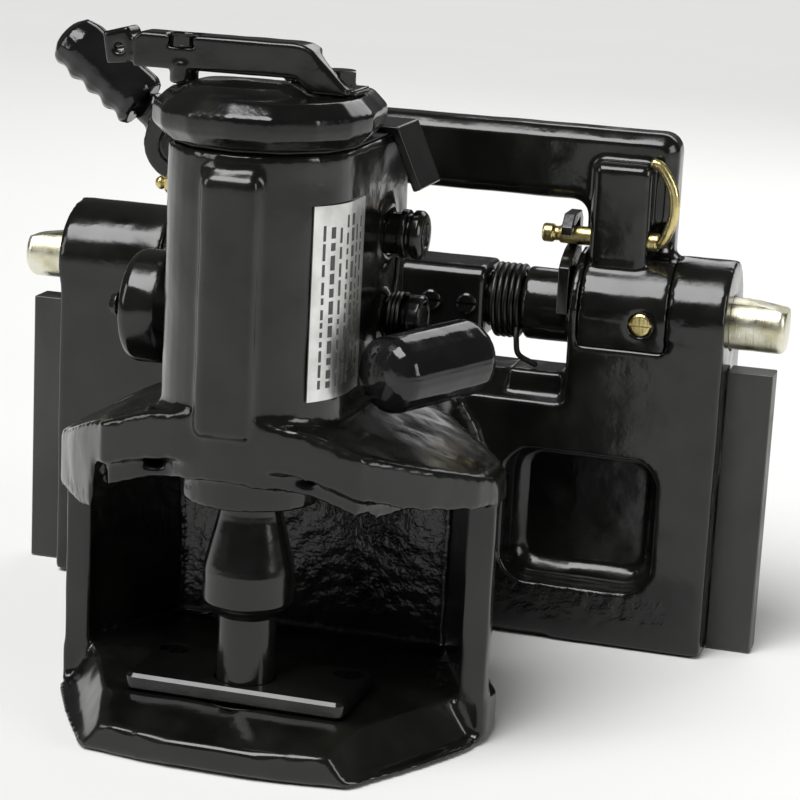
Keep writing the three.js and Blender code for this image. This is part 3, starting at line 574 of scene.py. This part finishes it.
def hex_head(width, low, high, axis, centre, turn=0.0, bore=0.0, segments=96):
    """A hexagon with a turned chamfer at its high end, and a bore if asked.

    width is across its flats; low and high are stations along the axis, all in millimetres.
    """
    crown = 0.5 * width * CHAMFER_SHARE
    inner = bore if bore else 0.05 * width
    work = bmesh.new()

    def ring(station, radius=None, chamfered=False):
        made = []
        for i in range(segments):
            angle = 2 * math.pi * i / segments
            folded = (angle + math.pi / 6) % (math.pi / 3) - math.pi / 6
            flat = 0.5 * width / math.cos(folded)
            drop = max(0.0, flat - crown) * CHAMFER_SLOPE if chamfered else 0.0
            reach = radius or flat
            made.append(work.verts.new((
                reach * math.cos(angle + turn), reach * math.sin(angle + turn), station - drop)))
        return made

    rings = [ring(low, inner), ring(low, crown), ring(low), ring(high, chamfered=True),
             ring(high, crown), ring(high, inner)]
    skin(work, rings)
    if bore:
        skin(work, [rings[-1], rings[0]])
    else:
        work.faces.new(rings[-1])
        work.faces.new(list(reversed(rings[0])))
    bmesh.ops.recalc_face_normals(work, faces=work.faces)
    work.transform(Matrix.Translation(centre) @ AXES[axis] @ Matrix.Scale(MM, 4))
    return made_mesh("hexagon", work)


# ---- castings -----------------------------------------------------------------------
def head_rawness(point):
    """Coarse sand skin inside the mouth."""
    inside = abs(point.x) < 85 * MM and -148 * MM < point.y < -8 * MM and 20 * MM < point.z < 106 * MM
    return 0.75 if inside else 0.0


def bracket_rawness(point):
    """Coarse skin in a band along the foot of the body's front, faded at its borders."""
    low, high = 8 * MM, 30 * MM
    if point.y < 80 * MM and 55 * MM < abs(point.x) < 152 * MM and low < point.z < high:
        return min(1.0, (point.z - low) / (6 * MM), (high - point.z) / (4 * MM))
    return 0.0


def add_castings():
    cast("head_casting", "coupler_head", CAST, grid=1.8, rounding=4, wave=0.45, wave_size=22,
         raw=head_rawness)
    cast("bracket_casting", "bracket_body", CAST, grid=1.8, rounding=3, wave=0.35, wave_size=22,
         raw=bracket_rawness)
    cast("lock_handle", "lock_bail", CAST, grid=1.4, rounding=5, wave=0.35, wave_size=20)
    machined("lock_ear", "ear_plate", SMOOTH, bevel=0.6, steps=3)
    cast("tower_cap", "tower_lid", CAST, grid=1.0, rounding=10, wave=0.3, wave_size=16)
    cast("cable_holder", "cable_strap", SMOOTH, grid=0.7, rounding=5, wave=0.15, wave_size=9)
    cast("hand_lever", "lifting_lever", CAST, grid=0.8, rounding=8, wave=0.25, wave_size=9)
    cast("release_lever", "release_arm", SMOOTH, grid=0.8, rounding=5, wave=0.15, wave_size=9)
    cast("lifting_arm", "pin_crank", STEEL, grid=0.9, rounding=4, wave=0.1, wave_size=16)
    machined("rear_cover", "closing_sheet", SMOOTH, bevel=0.9, steps=4)
    machined("guide_plate_right", "right_guide_plate", GUIDE, bevel=0.7, steps=3)
    machined("guide_plate_left", "left_guide_plate", GUIDE, bevel=0.7, steps=3)
    cast("shaft_sleeve", "sleeve_body", SMOOTH, grid=0.8, rounding=3, wave=0.1, wave_size=16)
    machined("wear_plate", "wear_pad", SMOOTH, bevel=0.6, steps=2)
    machined("pin_crosshead", "lift_crosshead", STEEL, bevel=0.6, steps=2)


# ---- turned pieces ------------------------------------------------------------------
def add_locking_pin(side):
    node = "locking_pin_right" if side > 0 else "locking_pin_left"
    low, high = span(node, "X")
    inner, outer = (low, high) if side > 0 else (high, low)
    profile = [(0, inner), (LOCK_PIN_R - 1, inner), (LOCK_PIN_R, inner + side),
               (LOCK_PIN_R, outer - 2.2 * side), (LOCK_PIN_R - 2, outer), (0, outer)]
    name = "lock_bolt_right" if side > 0 else "lock_bolt_left"
    pin = linked(name, lathe(profile, "X", middle(node, "X"), 1.2))
    centre = middle(node, "X") / MM
    slope = math.degrees(math.atan2(4, 21))
    wedge = block((-18, -20, 0), (18, 20, 16))
    place = Matrix.Translation(Vector((outer - 9 * side, centre.y, centre.z + 10.1)) * MM)
    wedge.transform(place @ Matrix.Rotation(math.radians(slope * side), 4, "Y"))
    cut(pin, wedge)
    softened(pin, 0.5)
    return stand_for(pin, ZINC, node)


def add_coupling_pin():
    tip, top = span("coupling_pin", "Z")
    foot = CROWN_FOOT
    profile = [
        (0, tip), (10.2, tip), (12.5, tip + 3), (12.5, foot - 5), (18.2, foot - 0.5), (19.5, foot + 2),
        (19.5, foot + 15), (18.9, foot + 18), (14.0, foot + 38), (13.5, foot + 41), (13.5, foot + 52),
        (19.4, foot + 57), (19.4, top - 2), (17.5, top), (0, top)]
    turned("coupling_pin", "drawbar_pin", SMOOTH, "Z", profile, 0.7)


def add_plain_turnings():
    low, high = span("cross_shaft", "X")
    turned("cross_shaft", "lock_shaft", SMOOTH, "X",
           [(0, low), (LOCK_PIN_R, low), (LOCK_PIN_R, high), (0, high)])
    for node, axis, inner, outer in RING_SIZES:
        low, high = span(node, axis)
        start = (inner, (low + high) / 2)
        ring = [start, (inner, low), (outer, low), (outer, high), (inner, high), start]
        turned(node, node.replace("_", "_ring_"), STEEL if node != "neck_bush" else BRASS, axis, ring, 0.4)
    low, high = span("release_shaft", "X")
    turned("release_shaft", "release_spindle", SMOOTH, "X",
           [(0, low), (7, low), (7, high - 2), (6.2, high - 1.4), (6.2, high), (0, high)], 0.5)
    low, high = span("lever_shaft", "Y")
    turned("lever_shaft", "lever_spindle", STEEL, "Y",
           [(0, low), (6.6, low), (8, low + 1.4), (8, high - 1), (7, high), (0, high)], 0.5)
    low, high = span("stop_pin", "X")
    turned("stop_pin", "stop_stud", SMOOTH, "X", [
        (0, low), (9, low), (9, high - 10.5), (10.5, high - 10.5), (10.5, high - 7.5), (8.6, high - 7.1),
        (8.6, high - 5.6), (10.5, high - 5.1), (10.5, high - 1.8), (8.9, high - 0.2), (5.5, high),
        (5.0, high - 0.8), (0, high - 0.8)], 0.7)


def add_round_cover():
    """Left spring housing: a dished disc with a raised rim and a hub boss, held by three screws with washers.
    """
    node = "spring_cover"
    outer, inner = span(node, "X")
    centre = middle(node, "X")
    disc = lathe([
        (0, inner), (20.5, inner), (24.6, inner - 5), (25, inner - 8), (25, outer + 4), (23.4, outer + 1.2),
        (21, outer + 0.6), (19, outer + 2.0), (10, outer + 2.4), (7.4, outer + 0.4), (5, outer), (0, outer)],
        "X", centre, 1.4)
    cover = linked("round_cover", disc)
    finished(cover, 60)
    stand_for(cover, CAST, node)
    for i in (1, 2, 3):
        bolt = f"spring_cover_bolt_{i}"
        low, high = span(bolt, "X")
        spot = middle(bolt, "X")
        washer = lathe([(0, high), (5.4, high), (5.4, high - 0.9), (0, high - 0.9)], "X", spot, 0.3, 48)
        head = hex_head(7.6, -high + 0.9, -low, "X", Vector((0, spot.y, spot.z)), 0.4 * i)
        head.transform(Matrix.Translation(spot) @ Matrix.Scale(-1, 4, (1, 0, 0)) @ Matrix.Translation(-spot))
        head.flip_normals()
        screw = joined(f"round_cover_screw_{i}", washer, head)
        finished(screw, 40)
        stand_for(screw, SMOOTH, bolt)


def slotted_screw(node, name, material, axis, head_radius, depth, towards):
    """A cheese-head screw with a slot; towards is the side of the axis that the head faces."""
    low, high = span(node, axis)
    top, foot = (low, high) if towards < 0 else (high, low)
    inward = -towards
    profile = [(0, foot), (0.55 * head_radius, foot), (0.55 * head_radius, top + inward * depth),
               (head_radius, top + inward * depth), (head_radius, top + inward * 0.9),
               (head_radius - 1.1, top), (0, top)]
    screw = linked(name, lathe(profile, axis, middle(node, axis), 0.35, 64))
    centre = middle(node, axis)
    i = "XYZ".index(axis)
    centre[i] = top * MM
    half = Vector((head_radius * 1.3,) * 3)
    half[i] = 1.1
    half["XYZ".index("Z" if axis != "Z" else "X")] = 0.7
    cut(screw, block(centre / MM - half, centre / MM + half))
    finished(screw, 40)
    return stand_for(screw, material, node)


def add_slotted_screws():
    slotted_screw("sleeve_screw_1", "sleeve_fixing_1", SMOOTH, "Y", 5.15, 2.2, -1)
    slotted_screw("sleeve_screw_2", "sleeve_fixing_2", SMOOTH, "Y", 5.15, 2.2, -1)
    slotted_screw("cam_screw", "cam_fixing", BRASS, "Y", 5.4, 3.1, -1)
    slotted_screw("wear_plate_screw_1", "pad_screw_1", STEEL, "Z", 6.4, 3.4, 1)
    slotted_screw("wear_plate_screw_2", "pad_screw_2", STEEL, "Z", 6.4, 3.4, 1)


def add_cap_bolts():
    for i in (1, 2, 3):
        node = f"cap_bolt_{i}"
        low, high = span(node, "Z")
        spot = middle(node, "Z")
        width = 12.6 if i == 1 else 11.0
        rise = 6.1 if i == 1 else 4.6
        seat = high - rise
        collar = 0.53 * width
        flange = lathe([(0, seat), (collar, seat), (collar, seat + 0.8), (0, seat + 0.8)], "Z", spot, 0.3, 64)
        shank = lathe([(0, low), (2.4, low), (3.2, low + 1), (3.2, seat + 0.4), (0, seat + 0.4)],
                      "Z", spot, 0.3, 32)
        head = hex_head(width, seat + 0.6, high, "Z", Vector((spot.x, spot.y, 0)), 0.3 * i)
        bolt = joined(f"lid_bolt_{i}", flange, shank, head)
        finished(bolt, 40)
        stand_for(bolt, SMOOTH, node)


def add_neck_nut():
    low, high = span("neck_nut", "Y")
    nut = joined("swivel_nut", hex_head(69, low, high, "Y", middle("neck_nut", "Y"), math.pi / 2, 24.4))
    finished(nut, 40)
    stand_for(nut, STEEL, "neck_nut")


def add_grease_nipple():
    node = "grease_nipple"
    low, high = span(node, "X")
    spot = middle(node, "X")
    tip = lathe([(0, low), (1.6, low), (2.8, low + 1.6), (2.9, low + 2.6), (1.9, low + 4.2), (1.9, low + 5.2),
                 (4.0, low + 5.2)], "X", spot, 0.4, 48)
    stem = lathe([(0, high), (3.2, high), (3.2, low + 5.2), (0, low + 5.2)], "X", spot, 0.2, 48)
    collar = hex_head(7.8, low + 5.0, low + 9.0, "X", spot)
    nipple = joined("grease_fitting", tip, stem, collar)
    finished(nipple, 40)
    stand_for(nipple, BRASS, node)


# ---- springs and the safety pin -----------------------------------------------------
def helix(x0, x1, radius, turns, centre, last_angle, per_turn=40):
    """Points of a coil about a line parallel to X, in metres, ending at last_angle."""
    count = round(turns * per_turn)
    points = []
    for i in range(count + 1):
        angle = last_angle - 2 * math.pi * turns * (1 - i / count)
        points.append(Vector((x0 + (x1 - x0) * i / count, centre.y + radius * math.cos(angle),
                              centre.z + radius * math.sin(angle))))
    return points


def add_springs():
    axis = middle("cross_shaft", "X")
    coil = helix(51.5 * MM, 65.5 * MM, 17 * MM, 4.75, axis, math.radians(215))
    leg_end = Vector((76 * MM, axis.y - 16 * MM, axis.z - 27.1 * MM))
    bend = [coil[-1], Vector((66.2 * MM, axis.y - 16.5 * MM, axis.z - 16 * MM)),
            Vector((68 * MM, axis.y - 17 * MM, axis.z - 23 * MM)), leg_end]
    spring = linked("handle_spring", swept([*coil, *curved(bend)[1:]], 1.4 * MM))
    finished(spring, 60)
    stand_for(spring, STEEL, "torsion_spring")
    shaft = middle("release_shaft", "X")
    coil = helix(43.5 * MM, 49 * MM, 10.2 * MM, 3, shaft, math.radians(90))
    leg = [Vector((43.2 * MM, shaft.y + 4 * MM, 205 * MM)), Vector((43.2 * MM, shaft.y + 3 * MM, 197 * MM)),
           coil[0]]
    spring = linked("return_spring", swept([*curved(leg)[:-1], *coil], 1.05 * MM, 12))
    finished(spring, 60)
    stand_for(spring, STEEL, "release_spring")


def add_safety_pin():
    node = "safety_pin"
    start = span(node, "X")[0]
    axis = middle("cross_shaft", "X")
    y, z = axis.y + SAFETY_PIN_AT[0] * MM, axis.z + SAFETY_PIN_AT[1] * MM
    end = start + SAFETY_PIN_LENGTH
    rod = lathe([
        (0, start), (3.9, start), (4.5, start + 1), (4.5, start + 5), (3.5, start + 6), (3.5, start + 8),
        (4.5, start + 9), (4.5, end), (0, end)], "X", Vector((0, y, z)), 0.5, 64)
    bow = curved([Vector((x * MM, y + dy * MM, z + dz * MM)) for x, dy, dz in (
        (end - 2, 0, -1), (end + 3, -4, 2), (end + 7, -5, 14), (end + 6, -5, 26), (end, -5, 36),
        (end - 3.5, -5, 38))])
    pin = joined("handle_safety_pin", rod, swept(bow, 2.5 * MM))
    finished(pin, 50)
    stand_for(pin, BRASS, node)


# ---- grips --------------------------------------------------------------------------
def seam(point, start, along, across):
    """Raises a thin mould line where the grip's middle plane meets its skin."""
    offset = point - start
    height = abs(offset.dot(across))
    if height < SEAM_HALF * MM:
        radial = offset - along * offset.dot(along)
        return point + radial.normalized() * (SEAM_HEIGHT * MM) * (1 - height / (SEAM_HALF * MM))
    return point


def add_lever_grip():
    start, end = (point * MM for point in LEVER_GRIP_AXIS)
    first, last = GROOVED
    along = (end - start).normalized()
    below = along.cross(Vector((0, 1, 0)))
    below = below if below.z < 0 else -below

    def shaped(point):
        offset = point - start
        reach = offset.dot(along) / (end - start).length
        radial = offset - along * offset.dot(along)
        if radial.length > 8 * MM and radial.dot(below) > 0 and first < reach < last:
            share = radial.dot(below) / radial.length
            groove = 0.5 - 0.5 * math.cos(2 * math.pi * GROOVES * (reach - first) / (last - first))
            point = point - radial.normalized() * (GROOVE_DEPTH * MM * groove * share)
        return seam(point, start, along, Vector((0, 1, 0)))

    cast("lever_grip", "lifting_lever_grip", PLASTIC, grid=0.7, rounding=6, wave=0.08, wave_size=9,
         reshape=shaped)


def add_release_grip():
    rear, front = (point * MM for point in RELEASE_GRIP_AXIS)
    along = (front - rear).normalized()
    level = along.cross(Vector((0, 0, 1))).normalized()
    upright = level.cross(along)

    def shaped(point):
        return seam(point, rear, along, upright)

    cast("release_grip", "release_lever_grip", PLASTIC, grid=0.7, rounding=6, wave=0.06, wave_size=9,
         reshape=shaped)


# ---- nameplate ----------------------------------------------------------------------
TOWER_AXIS = Vector((0, -109.5, 0)) * MM
PLATE_FROM = math.radians(-40)
PLATE_RADIUS = 39.35
PLATE_THICK = 0.8
PLATE_FLAT = 13                     # flat stretch behind the curved one
DASH_COLUMNS = 7
BOLD_COLUMNS = (1, 4)


def plate_point(along, outward, z):
    """A point over the tower's flank; along is measured on the plate's inner face from its front edge."""
    arc = PLATE_RADIUS * -PLATE_FROM
    if along < arc:
        angle = PLATE_FROM + along / PLATE_RADIUS
        radius = PLATE_RADIUS + outward
        return TOWER_AXIS + Vector((radius * math.cos(angle), radius * math.sin(angle), z)) * MM
    return TOWER_AXIS + Vector((PLATE_RADIUS + outward, along - arc, z)) * MM


def patch(work, a0, a1, z0, z1, low, high):
    """A raised rectangle that follows the tower's curve."""
    steps = max(1, math.ceil((a1 - a0) / 1.2))
    rows = []
    for i in range(steps + 1):
        a = a0 + (a1 - a0) * i / steps
        corners = ((low, z0), (high, z0), (high, z1), (low, z1))
        rows.append([work.verts.new(plate_point(a, outward, z)) for outward, z in corners])
    skin(work, rows)
    work.faces.new(rows[0])
    work.faces.new(list(reversed(rows[-1])))


def finished_plate(name, work, material):
    bmesh.ops.recalc_face_normals(work, faces=work.faces)
    obj = finished(linked(name, made_mesh(name, work)), 30)
    obj.data.materials.append(material)
    return obj


def add_name_plate():
    """Blank aluminium plate with rows of plain dashes in place of any wording."""
    low, high = span("name_plate", "Z")
    length = PLATE_RADIUS * -PLATE_FROM + PLATE_FLAT
    sheet = bmesh.new()
    patch(sheet, 0, length, low, high, 0, PLATE_THICK)
    plate = finished_plate("blank_name_plate", sheet, ALUMINIUM)
    stand_for(plate, ALUMINIUM, "name_plate")
    marks = bmesh.new()
    top = PLATE_THICK + 0.12
    draw = random.Random(7)
    margin = 3.0
    pitch = (length - 2 * margin) / DASH_COLUMNS
    for column in range(DASH_COLUMNS):
        wide = 2.4 if column in BOLD_COLUMNS else 1.3
        a0 = margin + pitch * column + (pitch - wide) / 2
        z = low + 5
        while z < high - 9:
            dash = draw.uniform(2.0, 7.0)
            patch(marks, a0, a0 + wide, z, min(z + dash, high - 5), PLATE_THICK - 0.1, top)
            z += dash + draw.uniform(1.0, 2.4)
    etching = finished_plate("name_plate_dashes", marks, ETCHING)
    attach(etching, BODY_OF["name_plate"])


# ---- stage --------------------------------------------------------------------------
def area_light(name, at, target, size, power):
    lamp = bpy.data.lights.new(name, "AREA")
    lamp.shape = "RECTANGLE"
    lamp.size, lamp.size_y = size
    lamp.energy = power
    obj = linked_light(name, lamp)
    obj.location = at
    obj.rotation_euler = (Vector(target) - Vector(at)).to_track_quat("-Z", "Y").to_euler()


def linked_light(name, lamp):
    obj = bpy.data.objects.new(name, lamp)
    bpy.context.scene.collection.objects.link(obj)
    return obj


def add_stage():
    work = bmesh.new()
    bmesh.ops.create_grid(work, x_segments=2, y_segments=2, size=12)
    floor = linked("floor", made_mesh("floor", work))
    floor.location.z = cad_box[0].z - 0.4 * MM
    shader = Shader("pale_floor", Roughness=0.9)
    shader.color(shader.mixed(shader.noise(3, 2), (0.84, 0.84, 0.83), (0.87, 0.87, 0.86)))
    floor.data.materials.append(shader.material)
    world = bpy.data.worlds.new("studio")
    world.use_nodes = True
    world.node_tree.nodes["Background"].inputs["Color"].default_value = (0.80, 0.81, 0.80, 1)
    world.node_tree.nodes["Background"].inputs["Strength"].default_value = 0.10
    bpy.context.scene.world = world
    centre = (cad_box[0] + cad_box[1]) / 2
    sky = bpy.data.lights.new("studio_sky", "SUN")
    sky.angle = math.radians(38)
    sky.energy = 3.1
    downward = Vector((0.25, 0.55, -1))
    linked_light("studio_sky", sky).rotation_euler = downward.to_track_quat("-Z", "Y").to_euler()
    area_light("left_softbox", (-1.3, -0.9, 0.8), centre, size=(0.5, 0.8), power=5)
    area_light("right_softbox", (1.5, -0.3, 0.7), centre, size=(0.4, 0.8), power=5)
    area_light("back_softbox", (0.3, 1.6, 1.2), centre, size=(1.4, 0.8), power=8)
    bpy.context.scene.view_settings.view_transform = "Standard"


def carry_over(node, material):
    """A CAD node that shows as it is, with a finished material."""
    mesh = NODES[node].data
    mesh.materials.clear()
    mesh.materials.append(material)


add_camera()
add_castings()
add_locking_pin(1)
add_locking_pin(-1)
add_coupling_pin()
add_plain_turnings()
add_round_cover()
add_slotted_screws()
add_cap_bolts()
add_neck_nut()
add_grease_nipple()
add_springs()
add_safety_pin()
add_lever_grip()
add_release_grip()
add_name_plate()
carry_over("cap_gasket", RUBBER)
add_stage()
